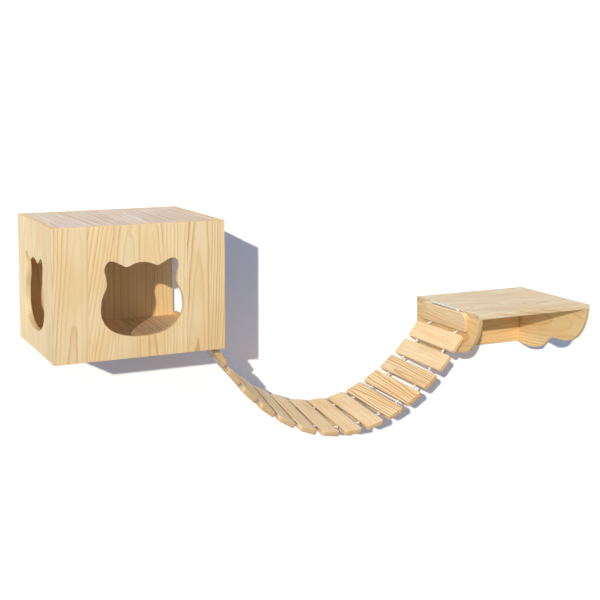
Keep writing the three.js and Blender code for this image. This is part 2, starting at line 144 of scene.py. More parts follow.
# The nodes of one material or of the world.
class Nodes:
    def __init__(self, tree):
        self.tree = tree

    def add(self, kind, settings, inputs):
        node = self.tree.nodes.new(kind)
        for key, value in settings.items():
            setattr(node, key, value)
        for key, value in inputs.items():
            self.feed(node.inputs[key], value)
        return node

    def feed(self, socket, value):
        if isinstance(value, Signal):
            value = value.socket
        if isinstance(value, bpy.types.NodeSocket):
            self.tree.links.new(value, socket)
        else:
            socket.default_value = value

    def sum(self, operation, *values):
        node = self.add("ShaderNodeMath", {"operation": operation}, dict(enumerate(values)))
        return Signal(self, node.outputs[0])

    def number(self, name):
        node = self.add("ShaderNodeAttribute", {"attribute_name": name}, {})
        return Signal(self, node.outputs["Fac"])

    def vector(self, name):
        return self.add("ShaderNodeAttribute", {"attribute_name": name}, {}).outputs["Vector"]

    def split(self, vector):
        node = self.add("ShaderNodeSeparateXYZ", {}, {"Vector": vector})
        return [Signal(self, output) for output in node.outputs]

    def point(self, x, y, z):
        return self.add("ShaderNodeCombineXYZ", {}, {"X": x, "Y": y, "Z": z}).outputs[0]

    # soft noise about zero, from about -0.5 to 0.5
    def noise(self, place, detail, roughness):
        node = self.add("ShaderNodeTexNoise", {}, {
            "Vector": place, "Scale": 1.0, "Detail": detail, "Roughness": roughness})
        return Signal(self, node.outputs["Fac"]) - 0.5

    # a number from 0 to 1 that has nothing to do with those of other seeds
    def dice(self, seed):
        node = self.add("ShaderNodeTexWhiteNoise", {"noise_dimensions": "1D"}, {"W": seed})
        node = self.add("ShaderNodeSeparateColor", {}, {"Color": node.outputs["Color"]})
        return Signal(self, node.outputs[0])

    def mixColor(self, share, first, second):
        node = self.add("ShaderNodeMix", {"data_type": "RGBA"}, {0: share, 6: first, 7: second})
        return node.outputs[2]

    def mixVector(self, share, first, second):
        node = self.add("ShaderNodeMix", {"data_type": "VECTOR"}, {0: share, 4: first, 5: second})
        return node.outputs[1]

    def scaled(self, color, amount):
        node = self.add("ShaderNodeVectorMath", {"operation": "SCALE"}, {0: color, "Scale": amount})
        return node.outputs[0]

    def dot(self, first, second):
        node = self.add("ShaderNodeVectorMath", {"operation": "DOT_PRODUCT"}, {0: first, 1: second})
        return Signal(self, node.outputs["Value"])


# A material with a Principled shader; finish takes what varies over the surface.
class Finish(Nodes):
    def __init__(self, name, constants):
        self.material = bpy.data.materials.new(name)
        self.material.use_nodes = True
        super().__init__(self.material.node_tree)
        self.shader = self.tree.nodes["Principled BSDF"]
        for key, value in constants.items():
            self.shader.inputs[key].default_value = value

    def finish(self, color, roughness, height, strength, distance):
        bump = self.add("ShaderNodeBump", {}, {
            "Height": height, "Strength": strength, "Distance": distance})
        self.feed(self.shader.inputs["Base Color"], color)
        self.feed(self.shader.inputs["Roughness"], roughness)
        self.feed(self.shader.inputs["Normal"], bump.outputs[0])
        return self.material


# Colours of early wood, its warmer patches, late wood, the dark line that ends a year, and end grain.
# Then how fast the pith leaves the face, how far the rings wander and ripple in metres, how much
# fibres, streaks and seams change the brightness, which way the timber runs, and how much brighter
# it is painted in a metre along the timber: painted light that falls off towards one end.
pine = {
    "early": "#f0d5a5", "warm": "#ecca93", "late": "#dba866", "line": "#b97f42", "end": "#cda065",
    "taper": 0.035, "wander": 0.010, "ripple": 0.0016, "fibre": 0.07, "streak": 0.07, "seam": 0.30,
    "run": (0, 0, 1), "paintedLightRise": 0.0,
}

# Each row of staves says where a stave begins across the board, then where its pith lies across the
# board and behind its back face, how far the pith slants, the width of a year's ring, how strongly
# the rings show, and how bright the stave is.
# The front panel is painted brighter towards its top: painted light that falls off downwards.
frontPine = {
    **pine, "paintedLightRise": 0.25,
    "staves": [
        (-0.200, -0.150, 0.012, 0.05, 0.0076, 0.75, 1.01),
        (-0.121, -0.185, 0.030, 0.19, 0.0080, 0.80, 1.03),
        (-0.062, -0.030, 0.016, 0.02, 0.0070, 0.75, 0.99),
        (-0.005, 0.022, 0.010, -0.03, 0.0072, 0.90, 1.01),
        (0.052, 0.150, 0.040, -0.02, 0.0062, 0.80, 1.02),
        (0.109, 0.136, 0.014, 0.04, 0.0074, 1.60, 0.98),
        (0.166, 0.260, 0.020, 0.02, 0.0060, 1.40, 0.99),
    ],
}


# The limits between which staves differ: seam and pith as shares of a stave's width, the pith's depth
# in metres and its slant, shares of the ring width and contrast that are asked for, and brightness.
chance = {
    "edge": (-0.1, 0.1), "pith": (-0.9, 1.9), "behind": (0.008, 0.035), "slant": (-0.07, 0.07),
    "ring": (0.85, 1.2), "contrast": (0.7, 1.3), "bright": (0.965, 1.025),
}


def randomStaves(seed, low, high, width, ring, contrast):
    random = np.random.default_rng(seed)
    edges = np.arange(low, high, width)
    edges = edges + random.uniform(*chance["edge"], len(edges)) * width
    return [
        (
            float(edge), float(edge + width * random.uniform(*chance["pith"])),
            random.uniform(*chance["behind"]), random.uniform(*chance["slant"]),
            ring * random.uniform(*chance["ring"]), contrast * random.uniform(*chance["contrast"]),
            random.uniform(*chance["bright"]),
        )
        for edge in edges
    ]


leftPine = {
    **pine, "early": "#f7dfac", "warm": "#f3d49f",
    "staves": randomStaves(seed=3, low=0.0, high=0.34, width=0.058, ring=0.0068, contrast=1.0),
}
rightPine = {
    **pine,
    "staves": randomStaves(seed=8, low=0.0, high=0.34, width=0.058, ring=0.0068, contrast=0.7),
}
backPine = {
    **pine, "early": "#f5d7a0", "warm": "#efcc90", "seam": 0.6,
    "staves": randomStaves(seed=5, low=-0.19, high=0.19, width=0.066, ring=0.0105, contrast=0.6),
}
# Painted sky light and sheen: the top panel's colours are greyer and paler than the other boards' wood,
# as the top face looks in light from above.
skyGreyLidPine = {
    **pine, "early": "#e7d7c4", "warm": "#dec8b0", "late": "#c9a077", "run": (0, 1, 0),
    "seam": 0.4,
    "staves": randomStaves(seed=12, low=-0.19, high=0.19, width=0.058, ring=0.0062, contrast=1.6),
}
# The floor panel takes the top's grain and seams but its own colours, without the painted sky light.
floorPine = {**skyGreyLidPine, "early": "#f6d5a2", "warm": "#efc990", "late": "#cf9a5c"}
shelfTopPine = {
    **pine, "early": "#e9d2ad", "warm": "#e1c397", "late": "#cb9c66", "end": "#e6c691",
    "run": (1, 0, 0), "taper": 0.09,
    "staves": [
        (-0.313, -0.262, 0.010, 0.05, 0.0074, 0.8, 1.00),
        (-0.214, -0.140, 0.009, -0.06, 0.0080, 0.9, 1.02),
        (-0.098, -0.050, 0.014, 0.03, 0.0070, 0.7, 0.99),
    ],
}
shelfSidePine = {
    **pine, "early": "#fbdca2", "warm": "#f5d193", "late": "#dfa962", "run": (0, 1, 0), "taper": 0.10,
    "staves": [(-0.31, -0.215, 0.012, 0.04, 0.0086, 0.9, 1.0)],
}
railPine = {
    **pine, "early": "#f8d091", "warm": "#f2c583", "late": "#d99f5a", "run": (1, 0, 0),
    "staves": [(-0.31, -0.235, 0.020, 0.02, 0.0074, 0.7, 1.0)],
}
slatPine = {
    **pine, "early": "#ecd0a2", "warm": "#e5c28f", "late": "#d29c5d", "line": "#a96f36",
    "end": "#cda26b", "run": (0, 1, 0), "taper": 0.05, "wander": 0.006,
}


# What the wood of every board has in common.
grain = {
    # repeats per metre along and across the timber, shifts along and across from board to board, and
    # the noise's detail and roughness
    "wander": (5, 13, 31, 0, 1.5, 0.5), "ripple": (26, 70, 0, 17, 1.0, 0.5),
    "fibre": (9, 480, 0, 0, 3.0, 0.65), "streak": (2.2, 95, 13, 0, 2.0, 0.5),
    "cloud": (5, 16, 0, 5, 2.0, 0.5), "ducts": (40, 900, 0, 0, 1.0, 0.5),
    # how the years differ in width: per metre, from board to board, by how much, and the noise's own
    "uneven": (60, 7, 1.6, 1.0, 0.5),
    "yearSeed": 97,  # shift of the years' darkness from board to board
    "steep": (0.05, 0.75),  # slope of the rings against the face, for weak and for full contrast
    "crossCut": (0.45, 0.9),  # how squarely the face cuts the timber, for none and for all end grain
    # where in a year the late wood and its dark line begin, are full and end, and what is left of
    # them on a flat cut
    "band": (0.30, 0.92, 0.93, 0.35), "line": (0.74, 0.92, 0.94, 0.55),
    "palest": 0.25,  # a pale year's darkness, as a share of a dark year's
    "mottle": (-0.12, 0.16),  # clouds at which the wood is all early and all warm in colour
    "fadeTone": 3,  # how much a board that brightens along itself loses of its warm patches
    # how far end grain, late wood and the dark line take on their own colours, and what the line
    # gains on end grain
    "endTone": 0.5, "bandTone": 0.75, "lineTone": 0.55, "endLine": 0.35,
    "duct": (0.17, 0.25), "ductTone": 0.12,  # where resin ducts begin and are full, and how dark
    "seamWidth": 0.0006,
    "constants": {"Specular IOR Level": 0.4},
    "roughness": (0.60, 0.2, -0.08),  # its middle, and what fibres and late wood add
    "height": (0.5, -0.3, -2.0, -0.4),  # what fibres, late wood, seams and ducts add
    "bump": (0.35, 0.0004),  # strength and depth
}


# Yearly rings are cylinders round a pith that lies askew of the board, so that a sawn face shows the
# lines and arches where it cuts them. The grain attribute holds the metres along the timber, across
# it and through it. Ring number = distance to the pith / width of a ring + a slow unevenness.
def makePine(name, look):
    wood = Finish(name, grain["constants"])
    along, across, deep = wood.split(wood.vector("grain"))
    board = wood.number("board")
    seam = 0.0
    if "staves" in look:
        pith, habit = look["staves"][0][1:4], look["staves"][0][4:7]
        for start, *rest in look["staves"][1:]:
            past = across.math("GREATER_THAN", start)
            pith = wood.mixVector(past, pith, tuple(rest[:3]))
            habit = wood.mixVector(past, habit, tuple(rest[3:]))
            seam = (1 - abs(across - start).rise(0.0, grain["seamWidth"])) + seam
    else:
        pith, habit = wood.vector("pith"), wood.vector("habit")
    pithAcross, pithDeep, slant = wood.split(pith)
    ringWidth, contrast, bright = wood.split(habit)

    def pattern(kind):
        lengthwise, crosswise, alongShift, acrossShift, detail, roughness = grain[kind]
        place = wood.point(
            along * lengthwise + board * alongShift, across * crosswise + board * acrossShift,
            deep * crosswise)
        return wood.noise(place, detail, roughness)

    wander, ripple, fibre, streak, cloud, ducts = (
        pattern(kind) for kind in ("wander", "ripple", "fibre", "streak", "cloud", "ducts"))
    aside = across - pithAcross - slant * along + wander * look["wander"]
    behind = deep + pithDeep + along * look["taper"] + ripple * look["ripple"]
    radius = (aside * aside + behind * behind).root() + ripple * look["ripple"]
    outward, perBoard, amount, *kind = grain["uneven"]
    uneven = wood.noise(wood.point(radius * outward, board * perBoard, 0.0), *kind)
    rings = radius / ringWidth + uneven * amount
    year, phase = rings.floor(), rings.fract()
    darkness = wood.dice(year + board * grain["yearSeed"])
    darkness = (darkness * (1 - grain["palest"]) + grain["palest"]) * contrast
    normal = wood.add("ShaderNodeTexCoord", {}, {}).outputs["Normal"]
    endGrain = abs(wood.dot(normal, look["run"])).rise(*grain["crossCut"])
    steep = (abs(aside) / radius).rise(*grain["steep"]).math("MAXIMUM", endGrain)

    def lateWood(begins, full, ends, least):
        return phase.rise(begins, full) * (1 - phase.rise(ends, 1.0)) * (steep * (1 - least) + least)

    band, line = lateWood(*grain["band"]), lateWood(*grain["line"])
    ducts = ducts.rise(*grain["duct"])
    # Painted light: the board is painted brighter along the timber, and its warm patches thin out as it
    # brightens.
    paintedLightRise = along * look["paintedLightRise"]
    tone = (cloud - paintedLightRise * grain["fadeTone"]).rise(*grain["mottle"])
    color = wood.mixColor(tone, fromHex(look["early"]), fromHex(look["warm"]))
    color = wood.mixColor(endGrain * grain["endTone"], color, fromHex(look["end"]))
    color = wood.mixColor(band * darkness * grain["bandTone"], color, fromHex(look["late"]))
    dark = line * darkness * (endGrain * grain["endLine"] + grain["lineTone"])
    color = wood.mixColor(dark + ducts * grain["ductTone"], color, fromHex(look["line"]))
    level = bright + paintedLightRise + fibre * look["fibre"] + streak * look["streak"] - seam * look["seam"]
    middle, *shares = grain["roughness"]
    roughness = fibre * shares[0] + band * shares[1] + middle
    shares = grain["height"]
    height = fibre * shares[0] + band * shares[1] + seam * shares[2] + ducts * shares[3]
    return wood.finish(wood.scaled(color, level), roughness, height, *grain["bump"])


# Two colours in small patches, laid out by the named attribute or else in the object's coordinates.
def makeSpeckled(look, attribute=None):
    finish = Finish(look["name"], look["constants"])
    where = finish.vector(attribute) if attribute else (
        finish.add("ShaderNodeTexCoord", {}, {}).outputs["Object"])
    place = finish.point(*(value * look["repeats"] for value in finish.split(where)))
    patch = finish.noise(place, *look["noise"])
    color = finish.mixColor(patch.rise(*look["mottle"]), *(fromHex(code) for code in look["colors"]))
    middle, share = look["roughness"]
    return finish.finish(color, patch * share + middle, patch, *look["bump"])


# Each corner moves along its mitre, so that every side of the loop moves to its left by the inset.
def insetLoop(loop, inset):
    before = loop - np.roll(loop, 1, axis=0)
    after = np.roll(loop, -1, axis=0) - loop
    before = before / np.linalg.norm(before, axis=1, keepdims=True)
    after = after / np.linalg.norm(after, axis=1, keepdims=True)
    left = np.stack([-before[:, 1], before[:, 0]], 1)
    right = np.stack([-after[:, 1], after[:, 0]], 1)
    mitre = (left + right) / (1 + np.sum(left * right, axis=1, keepdims=True))
    return loop + mitre * inset


# Pairs of inset and height: a flat rim, a quarter circle, the straight edge, and the same back.
def edgeProfile(thickness, ease, steps=4, support=0.0003):
    turn = np.linspace(0, np.pi / 2, steps + 1)
    low = np.stack([ease * (1 - np.sin(turn)), ease * (1 - np.cos(turn))], 1)
    high = np.stack([low[::-1, 0], thickness - low[::-1, 1]], 1)
    ends = np.array([[ease + support, 0.0], [ease + support, thickness]])
    return np.concatenate([ends[:1], low, high, ends[1:]])


# The quads of a grid of rows, each of them a closed ring of the same size.
def ringFaces(rows, size, base=0):
    here = np.arange(size)
    low = base + np.arange(rows - 1)[:, None] * size
    after = (here + 1) % size
    faces = np.stack([low + here, low + after, low + after + size, low + here + size], 2)
    return faces.reshape(-1, 4).tolist()


# The edge profile is carried round every loop, and the two faces are filled between the rims. The
# first loop runs counter-clockwise and the holes run clockwise.
def flatBoard(loops, thickness, ease):
    profile = edgeProfile(thickness, ease)
    points, faces, rims, base = [], [], [], 0
    for loop in loops:
        size, tall = len(loop), len(profile)
        rows = [
            np.column_stack([insetLoop(loop, inset), np.full(size, height)])
            for inset, height in profile
        ]
        points.append(np.concatenate(rows))
        faces += ringFaces(tall, size, base)
        rims.append((base, base + (tall - 1) * size, size))
        base += size * tall
    points = np.concatenate(points)
    for side in (0, 1):
        order = np.concatenate([np.arange(rim[side], rim[side] + rim[2]) for rim in rims])
        lines = [[Vector(point) for point in points[rim[side]:rim[side] + rim[2]]] for rim in rims]
        cap = order[np.array(tessellate_polygon(lines))]
        a, b, c = (points[cap[:, corner], :2] for corner in range(3))
        turned = (b - a)[:, 0] * (c - a)[:, 1] - (b - a)[:, 1] * (c - a)[:, 0]
        wrong = turned < 0 if side else turned > 0
        cap[wrong] = cap[wrong][:, ::-1]
        faces += cap.tolist()
    return points, faces


def newMesh(name, points, faces, crease=50):
    mesh = bpy.data.meshes.new(name)
    mesh.from_pydata(points.tolist(), [], faces)
    mesh.validate()
    mesh.polygons.foreach_set("use_smooth", np.ones(len(mesh.polygons), bool))
    mesh.set_sharp_from_angle(angle=math.radians(crease))
    return mesh


def meshPoints(mesh):
    points = np.zeros(len(mesh.vertices) * 3, np.float32)
    mesh.vertices.foreach_get("co", points)
    return points.reshape(-1, 3).astype(float)


def setAttribute(mesh, name, values):
    values = np.asarray(values, np.float32)
    kind, key = ("FLOAT_VECTOR", "vector") if values.ndim == 2 else ("FLOAT", "value")
    mesh.attributes.new(name, kind, "POINT").data.foreach_set(key, values.ravel())


# Local points times the turn, whose columns are the local axes, plus the move.
def placeMesh(mesh, turn, move):
    placed = meshPoints(mesh) @ np.array(turn, float).T + np.array(move, float)
    mesh.vertices.foreach_set("co", placed.astype(np.float32).ravel())
    mesh.update()


# Takes the tools out of the mesh, one after another, and gives a new mesh.
def cutAway(mesh, tools):
    block = bpy.data.objects.new("block", mesh)
    scene.collection.objects.link(block)
    made = []
    for number, (points, faces) in enumerate(tools):
        tool = bpy.data.objects.new(f"tool_{number}", newMesh(f"tool_{number}", points, faces))
        scene.collection.objects.link(tool)
        made.append(tool)
        cut = block.modifiers.new(tool.name, "BOOLEAN")
        cut.object, cut.operation, cut.solver = tool, "DIFFERENCE", "EXACT"
    bpy.context.view_layer.update()
    result = bpy.data.meshes.new_from_object(block.evaluated_get(bpy.context.evaluated_depsgraph_get()))
    for thing in (block, *made):
        bpy.data.objects.remove(thing)
    return result


def addPiece(name, mesh, material, body, replaced):
    piece = bpy.data.objects.new(name, mesh)
    scene.collection.objects.link(piece)
    mesh.materials.clear()
    mesh.materials.append(material)
    if body:
        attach(piece, body)
    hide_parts(*replaced)
    return piece


# A profile of distance along the axis and radius, turned once round it and closed at both ends.
def turnedShape(profile, start, axis, sides=32):
    axis = np.array(axis, float)
    flat = np.cross(axis, [0, 0, 1] if abs(axis[2]) < 0.9 else [1, 0, 0])
    flat = flat / np.linalg.norm(flat)
    other = np.cross(axis, flat)
    angle = np.linspace(0, 2 * np.pi, sides, endpoint=False)
    ring = np.cos(angle)[:, None] * flat + np.sin(angle)[:, None] * other
    profile = np.array(profile, float)
    points = np.array(start) + profile[:, 0, None, None] * axis + profile[:, 1, None, None] * ring
    return points.reshape(-1, 3), closedRings(len(profile), sides)


def closedRings(rows, sides):
    last = (rows - 1) * sides
    ends = [list(range(sides))[::-1], list(range(last, last + sides))]
    return ringFaces(rows, sides) + ends


def rectangle(left, low, right, high):
    return np.array([[left, low], [right, low], [right, high], [left, high]], float)


# Clockwise, for a hole.
def circle(x, y, radius, count=28):
    angle = np.linspace(0, -2 * np.pi, count, endpoint=False)
    return np.stack([x + radius * np.cos(angle), y + radius * np.sin(angle)], 1)


# Quarter circles at the corners, counter-clockwise from the low right one.
def roundedRectangle(left, low, right, high, lowCorner, highCorner, steps=8):
    corners = [
        (right - lowCorner, low + lowCorner, lowCorner, -0.5),
        (right - highCorner, high - highCorner, highCorner, 0.0),
        (left + highCorner, high - highCorner, highCorner, 0.5),
        (left + lowCorner, low + lowCorner, lowCorner, 1.0),
    ]
    sweep = np.linspace(0, 0.5, steps + 1)
    return np.concatenate([
        np.stack([x + r * np.cos((start + sweep) * np.pi), y + r * np.sin((start + sweep) * np.pi)], 1)
        for x, y, r, start in corners
    ])


# A smooth line through the stops: between two of them a cubic that leaves each stop along the line
# between its neighbours.
def throughStops(stops, count):
    stops = np.asarray(stops, float)
    place = np.linspace(0, len(stops) - 1, count)
    i = np.minimum(place.astype(int), len(stops) - 2)
    t = (place - i)[:, None]
    p0, p1 = stops[np.maximum(i - 1, 0)], stops[i]
    p2, p3 = stops[i + 1], stops[np.minimum(i + 2, len(stops) - 1)]
    m1, m2 = (p2 - p0) / 2, (p3 - p1) / 2
    return (2 * p1 - 2 * p2 + m1 + m2) * t**3 + (3 * p2 - 3 * p1 - 2 * m1 - m2) * t**2 + m1 * t + p1


# The local axes of an outline in the row frame: outline x, outline y and thickness as columns.
facingOut = np.array([[1, 0, 0], [0, 0, -1], [0, 1, 0]])  # x is X, y is Z, thickness towards -Y
acrossWall = np.array([[0, 0, -1], [-1, 0, 0], [0, 1, 0]])  # x leads away from the wall
lyingFlat = np.eye(3)
upright, sideways = [1, 0, 2], [0, 1, 2]  # which local axes run along, across and through the timber


def addBoard(name, loops, spec, tools=()):
    points, faces = flatBoard(loops, spec["thickness"], spec["ease"])
    mesh = newMesh(name, points, faces)
    local = meshPoints(mesh)
    placeMesh(mesh, spec["turn"], spec["move"])
    setAttribute(mesh, "grain", local[:, spec["grain"]])
    setAttribute(mesh, "board", np.full(len(local), spec["seed"]))
    if tools:
        mesh = cutAway(mesh, tools)
    return addPiece(name + "_wood", mesh, spec["wood"], "wall_set", [name])


house = {
    "width": 0.4, "depth": 0.34, "height": 0.3, "board": 0.013, "floorRise": 0.0105, "ease": 0.0008,
    "glue": 0.0001,
    "headWidth": 0.193, "headHeight": 0.173, "jaw": 0.067, "sill": 0.048, "fullness": 2.3,
    "frontShift": 0.003, "leftFromWall": 0.1635,
    "cheek": [
        (1, 0.387), (0.978, 0.495), (0.942, 0.555), (0.87, 0.646), (0.85, 0.72), (0.869, 0.798),
        (0.902, 0.882), (0.879, 0.942), (0.829, 0.982), (0.756, 1), (0.653, 0.988), (0.508, 0.948),
        (0.394, 0.916), (0.29, 0.927), (0.212, 0.946), (0.109, 0.963), (0, 0.968),
    ],
    "doorRim": 0.03, "doorStile": 0.021, "doorCorner": 0.005,
    "screwHole": 0.00325, "screwInset": 0.037,
    "jawPoints": 61, "cheekPoints": 97, "cornerPoints": 9,
}


# Below the widest place |x|^p + |y|^p = 1; above it the smooth line of the cheek, ear and crown.
def catHead(middle):
    half, power = house["headWidth"] / 2, 2 / house["fullness"]
    angle = np.linspace(np.pi, 2 * np.pi, house["jawPoints"])
    bow = np.sign(np.cos(angle)) * np.abs(np.cos(angle)) ** power
    dip = np.sign(np.sin(angle)) * np.abs(np.sin(angle)) ** power
    jaw = np.stack([half * bow, house["jaw"] * (1 + dip)], 1)
    cheek = throughStops(house["cheek"], house["cheekPoints"]) * [half, house["headHeight"]]
    loop = np.concatenate([jaw, cheek[1:], cheek[1:-1][::-1] * [-1, 1]])
    return (loop + [middle, house["sill"] - house["height"] / 2])[::-1]


# The right panel is open towards the wall, so its outline goes round three sides of the doorway.
def doorwayLoop(depth, top):
    corner, high = house["doorCorner"], top - house["doorRim"]
    jamb = depth - house["doorStile"]
    angle = np.linspace(np.pi / 2, 0, house["cornerPoints"])
    turn = np.stack([jamb - corner + corner * np.cos(angle), high - corner + corner * np.sin(angle)], 1)
    return np.concatenate([
        [[0, -top], [depth, -top], [depth, top], [0, top], [0, high]],
        turn, turn[::-1] * [1, -1], [[0, -high]],
    ])


def makeHouse():
    side, top = house["width"] / 2, house["height"] / 2
    board, glue = house["board"], house["glue"]
    inner, frontInner = side - board, house["depth"] - board
    common = {"thickness": board, "ease": house["ease"], "grain": upright, "slot": "panel_pine"}
    addBoard("house_front_panel", [rectangle(-side, -top, side, top), catHead(house["frontShift"])], {
        **common, "turn": facingOut, "move": (0, -frontInner, 0), "seed": 0.13,
        "wood": makePine("pine front panel", frontPine)})
    sheet = rectangle(0, -top, frontInner - glue, top)
    addBoard("house_left_panel", [sheet, catHead(house["leftFromWall"])], {
        **common, "turn": acrossWall, "move": (-inner, 0, 0), "seed": 0.37,
        "wood": makePine("pine left panel", leftPine)})
    addBoard("house_right_panel", [doorwayLoop(frontInner - glue, top)], {
        **common, "turn": acrossWall, "move": (side, 0, 0), "seed": 0.59,
        "wood": makePine("pine right panel", rightPine)})
    inset = house["screwInset"]
    holes = [circle(x * (inner - inset), top - inset, house["screwHole"]) for x in (-1, 0, 1)]
    addBoard("house_back_panel", [rectangle(glue - inner, -top, inner - glue, top), *holes], {
        **common, "turn": facingOut, "move": (0, 0, 0), "slot": "inner_pine", "seed": 0.83,
        "wood": makePine("pine back panel", backPine)})
    lid = rectangle(glue - inner, glue - frontInner, inner - glue, -board - glue)
    for place, height, seed, look in (
        ("top", top - board, 0.21, skyGreyLidPine), ("floor", house["floorRise"] - top, 0.71, floorPine),
    ):
        addBoard(f"house_{place}_panel", [lid], {
            **common, "turn": lyingFlat, "move": (0, 0, height), "slot": "inner_pine", "seed": seed,
            "wood": makePine(f"pine {place} panel", look)})


screw = {
    "diameter": 0.0036, "head": 0.0072, "headHeight": 0.0024, "tip": 0.004, "pitch": 0.0018,
    "thread": 0.00035, "sink": 0.00025, "recess": 0.0044, "recessWidth": 0.0011, "recessDepth": 0.0019,
    "room": 0.00015, "mouth": 0.002, "overrun": 0.001,
    "rim": 0.0003, "neck": 0.001, "sharpness": 5, "tipShare": 0.03,
}


# The middle of a screw's head; the screw points along -X from there.
def screwHead(name):
    low, high = (np.array(corner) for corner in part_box(name))
    return np.array([high[0], (low[1] + high[1]) / 2, (low[2] + high[2]) / 2]), high[0] - low[0]


# The cone that a screw's head sinks into, with a short straight mouth in front of the face.
def countersink(name):
    wide, narrow = screw["head"] / 2 + screw["room"], screw["diameter"] / 2
    deep = screw["headHeight"] + screw["sink"]
    profile = [
        (-screw["mouth"], wide), (screw["sink"], wide), (deep, narrow),
        (deep + screw["overrun"], narrow),
    ]
    return turnedShape(profile, screwHead(name)[0], (-1, 0, 0))


shelf = {
    "left": 0.92, "right": 1.28, "depth": 0.313, "top": -0.138, "board": 0.013, "glue": 0.0001,
    "ease": 0.0014, "rail": 0.145, "nose": 0.098, "notch": 0.118, "lobe": 0.165,
    "wave": [
        (0, 0.94), (0.109, 0.99), (0.224, 1), (0.297, 0.915), (0.39, 0.723), (0.441, 0.426),
        (0.492, 0.128), (0.559, 0),
    ],
    "hole": 0.00325, "holeInset": 0.047, "holeEdge": 0.032,
    "wavePoints": 97, "nosePoints": 41,
}


# Down the wall, along the smooth wave to the notch, and round the nose on a quarter of an ellipse.
def shelfSideLoop():
    under = shelf["top"] - shelf["board"] - shelf["glue"]
    wave = throughStops(shelf["wave"], shelf["wavePoints"])
    wave = np.stack([
        shelf["depth"] * wave[:, 0],
        shelf["top"] - shelf["notch"] - (shelf["lobe"] - shelf["notch"]) * wave[:, 1],
    ], 1)
    high = math.asin((shelf["top"] - under) / shelf["notch"])
    angle = np.linspace(-np.pi / 2, -high, shelf["nosePoints"])[1:]
    nose = np.stack([
        shelf["depth"] - shelf["nose"] + shelf["nose"] * np.cos(angle),
        shelf["top"] + shelf["notch"] * np.sin(angle),
    ], 1)
    return np.concatenate([[[0, under]], wave, nose])


def makeShelf():
    left, right, board, glue = shelf["left"], shelf["right"], shelf["board"], shelf["glue"]
    under = shelf["top"] - board
    middle = (left + right) / 2
    common = {"thickness": board, "ease": shelf["ease"], "grain": sideways, "slot": "shelf_pine"}
    addBoard("shelf_top_board", [rectangle(left, -shelf["depth"], right, 0)], {
        **common, "turn": lyingFlat, "move": (0, 0, under), "seed": 0.31,
        "wood": makePine("pine shelf top", shelfTopPine)})
    sideWood = makePine("pine shelf sides", shelfSidePine)
    sinks = [countersink(f"anchor_screw_shelf_{place}") for place in ("front", "rear")]
    for name, x, seed, tools in (
        ("shelf_left_side", left + board, 0.47, sinks), ("shelf_right_side", right, 0.93, ()),
    ):
        addBoard(name, [shelfSideLoop()], {
            **common, "turn": acrossWall, "move": (x, 0, 0), "seed": seed, "wood": sideWood}, tools)
    low = under - glue - shelf["rail"]
    reach = (right - left) / 2 - board - shelf["holeInset"]
    holes = [circle(middle + x * reach, under - shelf["holeEdge"], shelf["hole"]) for x in (-1, 1)]
    sheet = rectangle(left + board + glue, low, right - board - glue, under - glue)
    addBoard("shelf_back_rail", [sheet, *holes], {
        **common, "turn": facingOut, "move": (0, 0, 0), "seed": 0.67,
        "wood": makePine("pine shelf rail", railPine)})


slat = {
    "length": 0.222, "width": 0.05, "thick": 0.013, "corner": 0.008, "anchorCorner": 0.02,
    "ease": 0.0025, "bore": 0.0041, "ropes": 0.132, "roll": 8.8, "skew": 0.55, "count": 14,
    "seeds": (0.05, 0.0637),  # the first slat's, and the step to the next
    # where each slat's pith lies across it and above its middle, and how it slants
    "pith": [
        (0.004, 0.016, 0.03), (-0.020, 0.012, -0.02), (0.010, 0.020, 0.04), (0.030, 0.014, 0.02),
        (-0.006, 0.011, -0.04), (0.022, 0.018, 0.05), (-0.026, 0.013, 0.02), (0.008, 0.015, -0.05),
        (-0.012, 0.012, 0.04), (0.003, 0.010, 0.03), (-0.008, 0.012, -0.03), (0.040, 0.050, 0.01),
        (-0.015, 0.014, 0.05), (0.016, 0.013, -0.03), (0.006, 0.012, 0.03), (0.012, 0.020, 0.02),
    ],
    # ring width, strength of the rings and brightness
    "habit": [
        (0.0050, 1.0, 1.00), (0.0046, 0.9, 1.01), (0.0052, 0.9, 0.98), (0.0048, 0.8, 0.99),
        (0.0050, 1.0, 0.99), (0.0056, 0.9, 1.00), (0.0054, 0.9, 1.01), (0.0060, 0.8, 0.98),
        (0.0052, 1.0, 1.00), (0.0048, 1.1, 0.99), (0.0060, 1.8, 1.00), (0.0060, 1.7, 1.01),
        (0.0058, 1.8, 0.98), (0.0090, 0.3, 1.06), (0.0056, 1.0, 1.20), (0.0052, 0.9, 1.12),
    ],
}


# The middle of a slat and its axes as columns: along the bridge, along the slat, and its normal.
def slatAxes(middle, slope, roll):
    along = np.array([math.cos(slope), 0, math.sin(slope)])
    wide = np.array([
        -math.sin(slope) * math.sin(roll), math.cos(roll), math.cos(slope) * math.sin(roll)])
    return np.array(middle), np.stack([along, wide, np.cross(along, wide)], 1)


# The middles of the gaps are the record's hinges; the open gap lies as far beyond the slat before it
# as that slat's own hinge lies on the near side.
def bridgeFrames():
    hinges = {joint["child"]: np.array(joint["pos_m"]) for joint in frame["joints"]}
    half = slat["count"] // 2
    low, high = (np.array(corner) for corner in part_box(f"slat_{half:02d}"))
    gaps = [hinges[f"slat_{i:02d}"] for i in range(1, half + 1)]
    gaps.append(low + high - gaps[-1])
    gaps += [hinges[f"slat_{i:02d}"] for i in range(half + 1, slat["count"] + 1)]
    frames = []
    for name, slope in (("anchor_slat_house", -np.pi / 2), ("anchor_slat_shelf", np.pi / 2)):
        low, high = (np.array(corner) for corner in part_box(name))
        frames.append(slatAxes((low + high) / 2, slope, 0.0))
    for index in range(slat["count"]):
        step = gaps[index + 1] - gaps[index]
        share = ((index + 0.5) / slat["count"]) ** slat["skew"]
        roll = math.radians(slat["roll"]) * math.sin(math.pi * share)
        middle = (gaps[index] + gaps[index + 1]) / 2
        frames.insert(-1, slatAxes(middle, math.atan2(step[2], step[0]), roll))
    return frames


